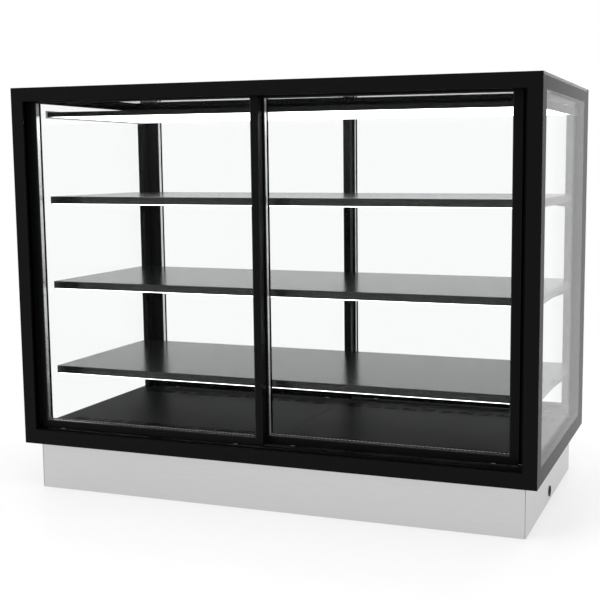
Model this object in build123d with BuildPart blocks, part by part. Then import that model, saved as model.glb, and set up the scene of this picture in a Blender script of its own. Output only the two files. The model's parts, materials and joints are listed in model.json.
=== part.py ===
"""Drop-in refrigerated display case: a glass cabinet on a shallow insulated well.

Millimetres. The origin is the middle of the well's underside, +Z is up, +X runs along the
long front, and the customers' side faces -Y. The rear sash assembly is the front one turned
half a turn about the vertical axis.
"""

from build123d import *
from math import cos, radians, sin
import os

os.makedirs("parts", exist_ok=True)

# Envelope
WIDTH = 1200.0
DEPTH = 600.0
HEIGHT = 925.0
WELL_HEIGHT = 110.0
WELL_INSET = 26.5

# Black profile frame
POST_FACE = 30.0
POST_LEG = 4.0
LIP_DEPTH = 20.0
LIP_PLATE = 5.0
LIP_CHANNEL_DEPTH = 18.0
LIP_DIVIDER = 3.0
PROFILE_WALL = 3.0
PANE_COVER = 4.0
SILL_HEIGHT = 33.0
SILL_TOP_WALL = 5.0
HEAD_HEIGHT = 30.5
HEAD_TOP_WALL = 7.0
ASSEMBLY_DEPTH = 95.0
GROOVE_WIDTH = 2.5
GROOVE_DEPTH = 3.0
LEDGE_WIDTH = 12.0
LEDGE_THICKNESS = 3.0
RAIL_HEIGHT = 27.0

# Fixed glazing
OUTER_PANE = 5.0
INNER_PANE = 4.0
SIDE_CAVITY = 11.0
SIDE_SPACER_WIDTH = 6.0
PANE_FIT = 0.2

# Sliding sashes
SASH_THICKNESS = 20.0
SASH_BORDER = 16.0
SASH_WALL = 1.0
SASH_BACK = 3.0
PULL_WIDTH = 18.0
PULL_GROOVE_WIDTH = 12.0
PULL_GROOVE_DEPTH = 10.0
PULL_PROUD = 4.5
PULL_LIP_FIT = 0.05
PULL_FOOT_GAP = 9.0
PULL_HEAD_GAP = 3.0
SASH_HIDDEN = 16.0
SASH_OVERLAP = 14.0
SASH_JAMB_GAP = 0.5
SASH_FLOOR_GAP = 3.0
SASH_ENGAGEMENT = 14.5
TRACK_CLEARANCE = 1.0
TRACK_GAP = 5.0
SASH_PANE = 4.0
SPACER_WIDTH = 8.0
SASH_GLASS_FIT = 0.5

# Sash rollers
ROLLER_RADIUS = 7.0
ROLLER_WIDTH = 5.0
ROLLER_PIN_RADIUS = 1.5
ROLLER_PIN_FIT = 0.05
ROLLER_FLOOR_GAP = 0.3
ROLLER_GROOVE_WIDTH = 6.0
ROLLER_GROOVE_DEPTH = 2.0
ROLLER_POCKET_LENGTH = 18.0
ROLLER_POCKET_FIT = 0.7
ROLLER_INSET = 70.0

# Seals
BRUSH_WIDTH = 8.0
BRUSH_GAP = 0.4
BRUSH_END_GAP = 4.0
CLOSER_GAP = 1.0
BUMPER_GAP = 0.3
BUMPER_WIDTH = 14.0

# Shelves
SHELF_TOPS = (277.0, 480.0, 680.0)
SHELF_NAMES = ("shelf_bottom", "shelf_middle", "shelf_top")
SHELF_END_GAP = 5.0
SHELF_FRONT_GAP = 5.0
SHELF_SHEET = 1.5
SHELF_LIP = 17.0
SHELF_LIP_DEPTH = 20.0
LED_STRIP_WIDTH = 12.0
LED_STRIP_HEIGHT = 4.0

# Shelf carriers
UPRIGHT_WIDTH = 14.0
UPRIGHT_DEPTH = 22.0
UPRIGHT_WALL = 1.5
UPRIGHT_SHELF_GAP = 2.0
BRACKET_THICKNESS = 3.0
BRACKET_LENGTH = 330.0
BRACKET_REAR_HEIGHT = 30.0
BRACKET_TIP_HEIGHT = 10.0
BRACKET_HOOK = 8.0
BRACKET_SLOT_FIT = 0.4

# Roof light
LIGHT_DROP = 30.5
LIGHT_HEIGHT = 11.0
LIGHT_DIFFUSER_HEIGHT = 3.0
LIGHT_RIM = 5.0
LIGHT_RIB = 4.0
LIGHT_FIRST_BAY = 85.0
LIGHT_SECOND_BAY = 115.0
LIGHT_CAP_RISE = 3.0

# Deck over the well
DECK_SHEET = 1.5
DECK_FIT = 0.5
DECK_FOLD = 15.0
DECK_SLOT_LENGTH = 36.0
DECK_SLOT_WIDTH = 6.0
DECK_SLOT_PITCH = 48.0
DECK_SLOT_ROWS = 2
DECK_SLOT_ROW_PITCH = 13.0
DECK_SLOT_EDGE = 28.0

# Well
CASING_SHEET = 1.5
CASING_FLANGE = 12.0
INSULATION = 20.0
LINER_SHEET = 1.0
SERVICE_BAY = 112.0
DRAIN_FROM_END = 300.0
DRAIN_FROM_REAR = 120.0
DRAIN_RADIUS = 10.0
DRAIN_WALL = 1.5
DRAIN_FIT = 0.3
OUTLET_HEIGHT = 21.5
OUTLET_RADIUS = 10.5
GROMMET_FLANGE_RADIUS = 12.0
GROMMET_BORE = 8.0
GROMMET_FLANGE = 1.5
GROMMET_FIT = 0.15

# Cooling
FIN_COUNT = 44
FIN_PITCH = 18.0
FIN_THICKNESS = 0.8
FIN_DEPTH = 150.0
FIN_HEIGHT = 68.0
FIN_FRONT = -10.0
FIN_LIFT = 5.0
COIL_CENTRE_X = -56.0
COIL_PITCH = 34.0
COIL_COLUMNS = 4
COIL_LEVELS = (18.0, 50.0)
TUBE_RADIUS = 5.0
TUBE_FIT = 0.15
TUBE_OVERRUN = 12.0
FAN_SIZE = 80.0
FAN_DEPTH = 25.0
FAN_BORE = 38.0
FANS_FROM_ENDS = (300.0, 400.0)
FAN_STRUT_BITE = 1.0
FAN_Y = -70.0
FAN_HUB_RADIUS = 16.0
FAN_MOTOR_LENGTH = 6.0
FAN_STRUT = 3.0
FAN_BLADES = 7
FAN_BLADE_TIP = 36.5
FAN_BLADE_CHORD = 15.0
FAN_BLADE_THICKNESS = 1.6
FAN_BLADE_PITCH = 38.0
FAN_SHAFT_RADIUS = 2.0
FAN_SHAFT_FIT = 0.05
FAN_ROTOR_LENGTH = 16.0
FAN_ROTOR_GAP = 1.0
FAN_PANEL_SHEET = 1.5
FAN_PANEL_GAP = 2.0

# Operator's controls in the rear sill
CONTROL_FROM_END = 180.0
CONTROL_WIDTH = 64.0
CONTROL_HEIGHT = 25.0
CONTROL_BEZEL = 1.5
CONTROL_RECESS = 3.0
CONTROL_BODY_INSET = 2.0
CONTROL_BODY_DEPTH = 28.0
CONTROL_FIT = 0.4
DISPLAY_WIDTH = 28.0
DISPLAY_HEIGHT = 13.0
DISPLAY_DEPTH = 0.6
DISPLAY_X = -12.0
BUTTON_RADIUS = 3.2
BUTTON_FIT = 0.3
BUTTON_LENGTH = 5.0
BUTTON_PROUD = 1.0
BUTTON_X = (12.0, 23.0)
BUTTON_NAMES = ("controller_button_down", "controller_button_up")
SWITCH_FROM_END = 240.0
SWITCH_WIDTH = 24.0
SWITCH_WELL_WIDTH = 17.0
SWITCH_WELL_HEIGHT = 11.0
ROCKER_FIT = 0.8
ROCKER_DEPTH = 5.0
ROCKER_PROUD = 0.6

# Small fittings
SCREW_HEAD_RADIUS = 4.5
SCREW_HEAD_HEIGHT = 3.0
SCREW_SHANK_RADIUS = 2.5
SCREW_LENGTH = 20.0
SCREW_FIT = 0.3
TERMINAL_LENGTH = 150.0
TERMINAL_WIDTH = 60.0
TERMINAL_HEIGHT = 45.0

# Places worked out from the sizes above
LEFT = -WIDTH / 2
FRONT = -DEPTH / 2
FRAME_BOTTOM = WELL_HEIGHT
SILL_TOP = FRAME_BOTTOM + SILL_HEIGHT
FRAME_TOP = HEIGHT - OUTER_PANE
HEAD_BOTTOM = HEIGHT - HEAD_HEIGHT
HEAD_SLOT_TOP = FRAME_TOP - HEAD_TOP_WALL
SIDE_GLAZING = OUTER_PANE + SIDE_CAVITY + INNER_PANE
INNER_LEFT = LEFT + SIDE_GLAZING
POST_INNER = LEFT + POST_FACE
RAIL_LEFT = LEFT + OUTER_PANE
OUTER_SASH_FRONT = FRONT + LIP_DEPTH + TRACK_CLEARANCE
INNER_SASH_FRONT = OUTER_SASH_FRONT + SASH_THICKNESS + TRACK_GAP
SLOT_FRONT = OUTER_SASH_FRONT - TRACK_CLEARANCE
SLOT_REAR = OUTER_SASH_FRONT + SASH_THICKNESS + TRACK_CLEARANCE
POST_REAR = SLOT_REAR + POST_LEG
POST_SLOT_LEFT = POST_INNER - SASH_HIDDEN - 2 * TRACK_CLEARANCE
ASSEMBLY_REAR = FRONT + ASSEMBLY_DEPTH
SASH_OPENING = WIDTH - 2 * POST_FACE
SASH_WIDTH = (SASH_OPENING + SASH_HIDDEN + SASH_OVERLAP - SASH_JAMB_GAP) / 2
SASH_BOTTOM = SILL_TOP + SASH_FLOOR_GAP
SASH_TOP = HEAD_BOTTOM + SASH_ENGAGEMENT
OUTER_SASH_LEFT = POST_INNER - SASH_HIDDEN
INNER_SASH_LEFT = -POST_INNER - SASH_JAMB_GAP - SASH_WIDTH
ROLLER_Z = SILL_TOP - ROLLER_GROOVE_DEPTH + ROLLER_FLOOR_GAP + ROLLER_RADIUS
ROLLER_POCKET_TOP = ROLLER_Z + ROLLER_RADIUS + ROLLER_POCKET_FIT
RAIL_TOP = FRAME_BOTTOM + RAIL_HEIGHT
TOP_RAIL_BOTTOM = HEAD_BOTTOM + SIDE_SPACER_WIDTH
SHELF_FRONT = ASSEMBLY_REAR + SHELF_FRONT_GAP
SHELF_REAR = -ASSEMBLY_REAR
UPRIGHT_FRONT = SHELF_REAR + UPRIGHT_SHELF_GAP
LIGHT_BOTTOM = HEAD_BOTTOM - LIGHT_DROP
DRAIN_X = -WIDTH / 2 + DRAIN_FROM_END
DRAIN_Y = DEPTH / 2 - DRAIN_FROM_REAR
FAN_X = (-WIDTH / 2 + FANS_FROM_ENDS[0], WIDTH / 2 - FANS_FROM_ENDS[1])
CONTROL_X = WIDTH / 2 - CONTROL_FROM_END
SWITCH_X = WIDTH / 2 - SWITCH_FROM_END
LIGHT_REAR = UPRIGHT_FRONT + UPRIGHT_DEPTH
LIGHT_LEFT = INNER_LEFT + SHELF_END_GAP
SHELF_LEFT = INNER_LEFT + SHELF_END_GAP
BRACKET_LEFT = SHELF_LEFT + SHELF_SHEET
DECK_TOP = SILL_TOP + DECK_SHEET
WELL_LEFT = LEFT + WELL_INSET
WELL_FRONT = FRONT + WELL_INSET
FLANGE_BOTTOM = WELL_HEIGHT - CASING_SHEET
COLD_RIGHT = -WELL_LEFT - CASING_SHEET - SERVICE_BAY
LINER_LEFT = WELL_LEFT + CASING_SHEET + INSULATION
LINER_RIGHT = COLD_RIGHT - INSULATION
LINER_FRONT = WELL_FRONT + CASING_SHEET + INSULATION
LINER_FLOOR = CASING_SHEET + INSULATION
WELL_FLOOR = LINER_FLOOR + LINER_SHEET
CONTROL_Z = FRAME_BOTTOM + SILL_HEIGHT / 2
CONTROL_FACE = DEPTH / 2 - CONTROL_RECESS
BEZEL_FACE = CONTROL_FACE + CONTROL_BEZEL


def save(piece, node):
    """Label a finished piece and write it under its node's name."""
    piece.part.label = node
    export_step(piece.part, f"parts/{node}.step")


def block(low, high, mode=Mode.ADD):
    """Add or cut a block between two corners, in the part being built."""
    with BuildSketch(Plane.XY.offset(low[2])) as footprint:
        with Locations(((low[0] + high[0]) / 2, (low[1] + high[1]) / 2)):
            Rectangle(high[0] - low[0], high[1] - low[1])
    extrude(footprint.sketch, amount=high[2] - low[2], mode=mode)


def turned(piece):
    """The same piece half a turn about the vertical axis."""
    return piece.part.rotate(Axis.Z, 180)


def mirrored(piece):
    """The same piece on the other end of the cabinet."""
    return piece.part.mirror(Plane.YZ)


def pair(piece):
    """A group of the piece and its mirror image at the other end."""
    with BuildPart() as both:
        add(piece.part)
        add(mirrored(piece))
    return both


# Corner posts: each is an open channel with a front lip plate, which hides the sash edge


def make_post():
    with BuildPart() as post:
        block((RAIL_LEFT, FRONT, FRAME_BOTTOM), (POST_INNER, POST_REAR, FRAME_TOP))
        block((LEFT, FRONT, FRAME_BOTTOM), (POST_INNER, FRONT + PANE_COVER, HEIGHT))
        channel_low = (POST_SLOT_LEFT, FRONT + LIP_PLATE, SILL_TOP - LIP_CHANNEL_DEPTH)
        block(channel_low, (POST_INNER, SLOT_FRONT - LIP_DIVIDER, HEAD_SLOT_TOP), Mode.SUBTRACT)
        slot_low = (POST_SLOT_LEFT, SLOT_FRONT - LIP_DIVIDER, SILL_TOP)
        block(slot_low, (POST_INNER, SLOT_REAR, HEAD_SLOT_TOP), Mode.SUBTRACT)
        screw_x, screw_y = (POST_SLOT_LEFT + POST_INNER) / 2, (SLOT_FRONT + SLOT_REAR) / 2
        with Locations(Plane((screw_x, screw_y, FRAME_BOTTOM), z_dir=(0, 0, -1))):
            CounterBoreHole(
                SCREW_SHANK_RADIUS + SCREW_FIT,
                SCREW_HEAD_RADIUS + SCREW_FIT,
                SCREW_HEAD_HEIGHT + SCREW_FIT,
                SCREW_LENGTH + SCREW_FIT,
            )
    return post


front_posts = pair(make_post())
with BuildPart() as corner_posts:
    add(front_posts.part)
    add(turned(front_posts))
save(corner_posts, "corner_posts")

with BuildPart() as corner_screw:
    screw_x, screw_y = (POST_SLOT_LEFT + POST_INNER) / 2, (SLOT_FRONT + SLOT_REAR) / 2
    with BuildSketch(Plane.XY.offset(FRAME_BOTTOM)):
        with Locations((screw_x, screw_y)):
            Circle(SCREW_HEAD_RADIUS)
            RegularPolygon(SCREW_SHANK_RADIUS, 6, mode=Mode.SUBTRACT)
    extrude(amount=SCREW_HEAD_HEIGHT)
    with BuildSketch(Plane.XY.offset(FRAME_BOTTOM + SCREW_HEAD_HEIGHT / 2)):
        with Locations((screw_x, screw_y)):
            Circle(SCREW_SHANK_RADIUS)
    extrude(amount=SCREW_LENGTH - SCREW_HEAD_HEIGHT / 2)
front_screws = pair(corner_screw)
with BuildPart() as post_screws:
    add(front_screws.part)
    add(turned(front_screws))
save(post_screws, "post_screws")

# Sills: a hollow profile with a front lip, two tracks and a ledge that carries the deck


def profile_run(left, right):
    """The plane across a profile that runs along the front, and its length."""
    return Plane.YZ.offset(left), right - left


def rail_cut(front, width, depth, left, right, z_top):
    """Cut a groove down into the top of a profile along its run."""
    block((left, front, z_top - depth), (right, front + width, z_top), Mode.SUBTRACT)


def make_sill():
    inner_right = -INNER_LEFT
    with BuildPart() as sill:
        block((POST_INNER, FRONT, FRAME_BOTTOM), (-POST_INNER, POST_REAR, SILL_TOP))
        block((INNER_LEFT, POST_REAR, FRAME_BOTTOM), (inner_right, ASSEMBLY_REAR, SILL_TOP))
        ledge_low = (INNER_LEFT, ASSEMBLY_REAR, SILL_TOP - LEDGE_THICKNESS)
        block(ledge_low, (inner_right, ASSEMBLY_REAR + LEDGE_WIDTH, SILL_TOP))
        plane, length = profile_run(POST_INNER, -POST_INNER)
        with BuildSketch(plane):
            chamber_front = SLOT_FRONT + PROFILE_WALL
            chamber_rear = ASSEMBLY_REAR - PROFILE_WALL
            chamber_bottom = FRAME_BOTTOM + PROFILE_WALL
            chamber_top = SILL_TOP - SILL_TOP_WALL
            centre = ((chamber_front + chamber_rear) / 2, (chamber_bottom + chamber_top) / 2)
            with Locations(centre):
                Rectangle(chamber_rear - chamber_front, chamber_top - chamber_bottom)
        extrude(amount=length, mode=Mode.SUBTRACT)
        channel = FRONT + LIP_PLATE
        channel_width = SLOT_FRONT - LIP_DIVIDER - channel
        rail_cut(channel, channel_width, LIP_CHANNEL_DEPTH, POST_INNER, -POST_INNER, SILL_TOP)
        track_groove = OUTER_SASH_FRONT + SASH_THICKNESS + (TRACK_GAP - GROOVE_WIDTH) / 2
        rail_cut(track_groove, GROOVE_WIDTH, GROOVE_DEPTH, POST_INNER, -POST_INNER, SILL_TOP)
        for sash_front in (OUTER_SASH_FRONT, INNER_SASH_FRONT):
            groove = sash_front + (SASH_THICKNESS - ROLLER_GROOVE_WIDTH) / 2
            rail_cut(groove, ROLLER_GROOVE_WIDTH, ROLLER_GROOVE_DEPTH, POST_INNER, -POST_INNER, SILL_TOP)
    return sill


front_sill = make_sill()
with BuildPart() as sills:
    add(front_sill.part)
    add(turned(front_sill))
    recess_half = CONTROL_WIDTH / 2 + CONTROL_FIT
    height_half = CONTROL_HEIGHT / 2 + CONTROL_FIT
    body_half = CONTROL_WIDTH / 2 - CONTROL_BODY_INSET + CONTROL_FIT
    body_height_half = CONTROL_HEIGHT / 2 - CONTROL_BODY_INSET + CONTROL_FIT
    switch_half = SWITCH_WIDTH / 2 + CONTROL_FIT
    switch_body_half = SWITCH_WIDTH / 2 - CONTROL_BODY_INSET + CONTROL_FIT
    for x, face_half, inside_half in (
        (CONTROL_X, recess_half, body_half),
        (SWITCH_X, switch_half, switch_body_half),
    ):
        block(
            (x - face_half, CONTROL_FACE, CONTROL_Z - height_half),
            (x + face_half, DEPTH / 2, CONTROL_Z + height_half),
            Mode.SUBTRACT,
        )
        block(
            (x - inside_half, CONTROL_FACE - CONTROL_BODY_DEPTH - CONTROL_FIT, CONTROL_Z - body_height_half),
            (x + inside_half, CONTROL_FACE, CONTROL_Z + body_height_half),
            Mode.SUBTRACT,
        )
save(sills, "sills")

# Heads: the top profile, slotted from below for the sashes


def make_head():
    with BuildPart() as head:
        block((POST_INNER, FRONT, HEAD_BOTTOM), (-POST_INNER, POST_REAR, FRAME_TOP))
        block((INNER_LEFT, POST_REAR, HEAD_BOTTOM), (-INNER_LEFT, ASSEMBLY_REAR, FRAME_TOP))
        block((POST_INNER, FRONT, HEAD_BOTTOM), (-POST_INNER, FRONT + PANE_COVER, HEIGHT))
        for sash_front in (OUTER_SASH_FRONT, INNER_SASH_FRONT):
            slot_front = sash_front - TRACK_CLEARANCE
            slot_rear = sash_front + SASH_THICKNESS + TRACK_CLEARANCE
            slot_high = (-POST_INNER, slot_rear, HEAD_SLOT_TOP)
            block((POST_INNER, slot_front, HEAD_BOTTOM), slot_high, Mode.SUBTRACT)
        lip_low = (POST_INNER, FRONT + LIP_PLATE, HEAD_BOTTOM)
        lip_high = (-POST_INNER, SLOT_FRONT - LIP_DIVIDER, HEAD_BOTTOM + LIP_CHANNEL_DEPTH)
        block(lip_low, lip_high, Mode.SUBTRACT)
        chamber_front = INNER_SASH_FRONT + SASH_THICKNESS + TRACK_CLEARANCE + PROFILE_WALL
        chamber_low = (POST_INNER, chamber_front, HEAD_BOTTOM + PROFILE_WALL)
        chamber_high = (-POST_INNER, ASSEMBLY_REAR - PROFILE_WALL, FRAME_TOP - PROFILE_WALL)
        block(chamber_low, chamber_high, Mode.SUBTRACT)
    return head


front_head = make_head()
with BuildPart() as heads:
    add(front_head.part)
    add(turned(front_head))
save(heads, "heads")

# Side rails join the front and rear posts at the foot and the top of each end
with BuildPart() as end_rails:
    rail_right = RAIL_LEFT + SIDE_CAVITY + INNER_PANE
    block((RAIL_LEFT, POST_REAR, FRAME_BOTTOM), (rail_right, -POST_REAR, RAIL_TOP))
    block((RAIL_LEFT, POST_REAR, TOP_RAIL_BOTTOM), (rail_right, -POST_REAR, FRAME_TOP))
save(pair(end_rails), "side_rails")

# Side and top glazing: a large outer pane over the frame and a smaller pane within it
with BuildPart() as end_glass:
    pane_end = FRONT + PANE_COVER + PANE_FIT
    block((LEFT, pane_end, FRAME_BOTTOM + PANE_FIT), (LEFT + OUTER_PANE, -pane_end, HEIGHT))
    inner_face = INNER_LEFT - INNER_PANE
    block((inner_face, POST_REAR, RAIL_TOP), (INNER_LEFT, -POST_REAR, TOP_RAIL_BOTTOM))
save(pair(end_glass), "side_glass")

TOP_SPACER_BOTTOM = FRAME_TOP - SIDE_CAVITY
with BuildPart() as top_glass:
    pane_left = LEFT + OUTER_PANE + PANE_FIT
    block((pane_left, pane_end, FRAME_TOP), (-pane_left, -pane_end, HEIGHT))
    block(
        (INNER_LEFT, ASSEMBLY_REAR, TOP_SPACER_BOTTOM - INNER_PANE),
        (-INNER_LEFT, -ASSEMBLY_REAR, TOP_SPACER_BOTTOM),
    )
save(top_glass, "top_glass")

with BuildPart() as side_spacer:
    block((RAIL_LEFT, POST_REAR, RAIL_TOP), (RAIL_LEFT + SIDE_CAVITY, -POST_REAR, TOP_RAIL_BOTTOM))
    block(
        (RAIL_LEFT, POST_REAR + SIDE_SPACER_WIDTH, RAIL_TOP + SIDE_SPACER_WIDTH),
        (RAIL_LEFT + SIDE_CAVITY, -POST_REAR - SIDE_SPACER_WIDTH, HEAD_BOTTOM),
        Mode.SUBTRACT,
    )
side_spacers = pair(side_spacer)
with BuildPart() as glass_spacers:
    add(side_spacers.part)
    block((INNER_LEFT, ASSEMBLY_REAR, TOP_SPACER_BOTTOM), (-INNER_LEFT, -ASSEMBLY_REAR, FRAME_TOP))
    spacer_left = INNER_LEFT + SIDE_SPACER_WIDTH
    spacer_front = ASSEMBLY_REAR + SIDE_SPACER_WIDTH
    block(
        (spacer_left, spacer_front, TOP_SPACER_BOTTOM),
        (-spacer_left, -spacer_front, FRAME_TOP),
        Mode.SUBTRACT,
    )
save(glass_spacers, "glass_spacers")

# Closing profiles: a bumper in each outer post slot and a closer beside each inner sash
with BuildPart() as front_closers:
    bumper_front = (SLOT_FRONT + SLOT_REAR - BUMPER_WIDTH) / 2
    block(
        (POST_SLOT_LEFT, bumper_front, SILL_TOP),
        (OUTER_SASH_LEFT - BUMPER_GAP, bumper_front + BUMPER_WIDTH, HEAD_SLOT_TOP),
    )
    closer_left = INNER_SASH_LEFT + SASH_WIDTH + CLOSER_GAP
    closer_rear = INNER_SASH_FRONT + SASH_THICKNESS
    block((closer_left, POST_REAR, SILL_TOP), (-INNER_LEFT, closer_rear, HEAD_BOTTOM))
with BuildPart() as closing_profiles:
    add(front_closers.part)
    add(turned(front_closers))
save(closing_profiles, "closing_profiles")

# Sliding sashes. Each has its pull profile on the side that meets its post


def sash_edges(left, pull_on_left):
    """The left and right edges of the clear glass of a sash."""
    left_border = SASH_BORDER + (PULL_WIDTH if pull_on_left else 0)
    right_border = SASH_BORDER + (0 if pull_on_left else PULL_WIDTH)
    return left + left_border, left + SASH_WIDTH - right_border


def pocket_edges(left, pull_on_left):
    """The left and right ends of the pocket that holds the glazed unit."""
    clear_left, clear_right = sash_edges(left, pull_on_left)
    engagement = SASH_BORDER - SASH_BACK
    return clear_left - engagement, clear_right + engagement


def roller_places(left):
    """The X of the two rollers under a sash."""
    return left + ROLLER_INSET, left + SASH_WIDTH - ROLLER_INSET


def pull_left_edge(left, pull_on_left):
    """Where the pull profile of a sash starts."""
    return left if pull_on_left else left + SASH_WIDTH - PULL_WIDTH


def make_sash_frame(left, front, pull_on_left):
    frame_left = left + (PULL_WIDTH if pull_on_left else 0)
    frame_right = frame_left + SASH_WIDTH - PULL_WIDTH
    rear = front + SASH_THICKNESS
    clear_left, clear_right = sash_edges(left, pull_on_left)
    pocket_left, pocket_right = pocket_edges(left, pull_on_left)
    with BuildPart() as frame:
        block((frame_left, front, SASH_BOTTOM), (frame_right, rear, SASH_TOP))
        block(
            (clear_left, front, SASH_BOTTOM + SASH_BORDER),
            (clear_right, rear, SASH_TOP - SASH_BORDER),
            Mode.SUBTRACT,
        )
        block(
            (pocket_left, front + SASH_WALL, ROLLER_POCKET_TOP + SASH_WALL),
            (pocket_right, rear - SASH_WALL, SASH_TOP - SASH_BACK),
            Mode.SUBTRACT,
        )
        middle = front + SASH_THICKNESS / 2
        pocket_half = ROLLER_GROOVE_WIDTH / 2
        for x in roller_places(left):
            block(
                (x - ROLLER_POCKET_LENGTH / 2, middle - pocket_half, SASH_BOTTOM),
                (x + ROLLER_POCKET_LENGTH / 2, middle + pocket_half, ROLLER_POCKET_TOP),
                Mode.SUBTRACT,
            )
            with BuildSketch(Plane.XZ.offset(-middle - pocket_half)):
                with Locations((x, ROLLER_Z)):
                    Circle(ROLLER_PIN_RADIUS)
            extrude(amount=2 * pocket_half)
    return frame


def make_pull(left, front, pull_on_left):
    """A web along the sash's edge and the two lips clipped to it, which stand proud in front."""
    pull_left = pull_left_edge(left, pull_on_left)
    pull_right = pull_left + PULL_WIDTH
    lip_width = (PULL_WIDTH - PULL_GROOVE_WIDTH) / 2
    web_front = front + PULL_GROOVE_DEPTH
    lip_bottom = SASH_BOTTOM + PULL_FOOT_GAP
    lip_top = HEAD_BOTTOM - PULL_HEAD_GAP
    with BuildPart() as pull:
        block((pull_left, web_front, SASH_BOTTOM), (pull_right, front + SASH_THICKNESS, SASH_TOP))
        for lip_left in (pull_left, pull_right - lip_width):
            lip_low = (lip_left, front - PULL_PROUD, lip_bottom)
            block(lip_low, (lip_left + lip_width, web_front - PULL_LIP_FIT, lip_top))
    return pull


def make_sash_glass(left, front, pull_on_left):
    pocket_left, pocket_right = pocket_edges(left, pull_on_left)
    low_z = ROLLER_POCKET_TOP + SASH_WALL + SASH_GLASS_FIT
    high_z = SASH_TOP - SASH_BACK - SASH_GLASS_FIT
    faces = (front + SASH_WALL, front + SASH_THICKNESS - SASH_WALL - SASH_PANE)
    with BuildPart() as glass:
        for face in faces:
            block(
                (pocket_left + SASH_GLASS_FIT, face, low_z),
                (pocket_right - SASH_GLASS_FIT, face + SASH_PANE, high_z),
            )
    return glass


def make_sash_spacer(left, front, pull_on_left):
    clear_left, clear_right = sash_edges(left, pull_on_left)
    face = front + SASH_WALL + SASH_PANE
    back = front + SASH_THICKNESS - SASH_WALL - SASH_PANE
    clear_bottom = SASH_BOTTOM + SASH_BORDER
    clear_top = SASH_TOP - SASH_BORDER
    bottom = ROLLER_POCKET_TOP + SASH_WALL + SASH_GLASS_FIT
    with BuildPart() as spacer:
        block(
            (clear_left - SPACER_WIDTH, face, bottom),
            (clear_right + SPACER_WIDTH, back, clear_top + SPACER_WIDTH),
        )
        block((clear_left, face, clear_bottom), (clear_right, back, clear_top), Mode.SUBTRACT)
    return spacer


def make_roller(x, front):
    middle = front + SASH_THICKNESS / 2
    with BuildPart() as roller:
        with BuildSketch(Plane.XZ.offset(-middle - ROLLER_WIDTH / 2)):
            with Locations((x, ROLLER_Z)):
                Circle(ROLLER_RADIUS)
                Circle(ROLLER_PIN_RADIUS + ROLLER_PIN_FIT, mode=Mode.SUBTRACT)
        extrude(amount=ROLLER_WIDTH)
    return roller


SASHES = (
    ("front_left", OUTER_SASH_LEFT, OUTER_SASH_FRONT, True, False),
    ("front_right", INNER_SASH_LEFT, INNER_SASH_FRONT, False, False),
    ("rear_right", OUTER_SASH_LEFT, OUTER_SASH_FRONT, True, True),
    ("rear_left", INNER_SASH_LEFT, INNER_SASH_FRONT, False, True),
)
for sash_name, sash_left, sash_front, pull_on_left, at_rear in SASHES:
    roller_a, roller_b = roller_places(sash_left)
    sash_pieces = {
        "door_frame": make_sash_frame(sash_left, sash_front, pull_on_left),
        "door_pull": make_pull(sash_left, sash_front, pull_on_left),
        "door_glass": make_sash_glass(sash_left, sash_front, pull_on_left),
        "door_spacer": make_sash_spacer(sash_left, sash_front, pull_on_left),
        "roller_a": make_roller(roller_a, sash_front),
        "roller_b": make_roller(roller_b, sash_front),
    }
    for piece_name, piece in sash_pieces.items():
        with BuildPart() as placed:
            add(turned(piece) if at_rear else piece.part)
        save(placed, f"{sash_name}_{piece_name}")

# Brush seals on the meeting stiles of the outer sashes
with BuildPart() as front_brush:
    brush_right = OUTER_SASH_LEFT + SASH_WIDTH - (SASH_BORDER - BRUSH_WIDTH) / 2
    block(
        (brush_right - BRUSH_WIDTH, OUTER_SASH_FRONT + SASH_THICKNESS, SASH_BOTTOM + BRUSH_END_GAP),
        (brush_right, INNER_SASH_FRONT - BRUSH_GAP, HEAD_BOTTOM - BRUSH_END_GAP),
    )
save(front_brush, "front_brush_seal")
with BuildPart() as rear_brush:
    add(turned(front_brush))
save(rear_brush, "rear_brush_seal")

# Roof light: an aluminium tray with three diffusers, on end caps and the rear uprights
DIFFUSER_TOP = LIGHT_BOTTOM + LIGHT_DIFFUSER_HEIGHT
LIGHT_JOINTS = (SHELF_FRONT + LIGHT_FIRST_BAY, SHELF_FRONT + LIGHT_FIRST_BAY + LIGHT_SECOND_BAY)
LIGHT_BAY_FRONT = (SHELF_FRONT + LIGHT_RIM,) + tuple(y + LIGHT_RIB / 2 for y in LIGHT_JOINTS)
LIGHT_BAY_REAR = tuple(y - LIGHT_RIB / 2 for y in LIGHT_JOINTS) + (LIGHT_REAR - LIGHT_RIM,)
with BuildPart() as light_housing:
    block((LIGHT_LEFT, SHELF_FRONT, LIGHT_BOTTOM), (-LIGHT_LEFT, LIGHT_REAR, LIGHT_BOTTOM + LIGHT_HEIGHT))
    for bay_front, bay_rear in zip(LIGHT_BAY_FRONT, LIGHT_BAY_REAR):
        block(
            (LIGHT_LEFT + LIGHT_RIM, bay_front, LIGHT_BOTTOM),
            (-LIGHT_LEFT - LIGHT_RIM, bay_rear, LIGHT_BOTTOM + LIGHT_HEIGHT - SHELF_SHEET),
            Mode.SUBTRACT,
        )
save(light_housing, "light_housing")
with BuildPart() as light_diffuser:
    for bay_front, bay_rear in zip(LIGHT_BAY_FRONT, LIGHT_BAY_REAR):
        block(
            (LIGHT_LEFT + LIGHT_RIM, bay_front, LIGHT_BOTTOM),
            (-LIGHT_LEFT - LIGHT_RIM, bay_rear, DIFFUSER_TOP),
        )
save(light_diffuser, "light_diffuser")
with BuildPart() as light_cap:
    block(
        (INNER_LEFT, SHELF_FRONT, LIGHT_BOTTOM - LIGHT_CAP_RISE),
        (LIGHT_LEFT, LIGHT_REAR, LIGHT_BOTTOM + LIGHT_HEIGHT + LIGHT_CAP_RISE),
    )
save(pair(light_cap), "light_end_caps")

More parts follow.
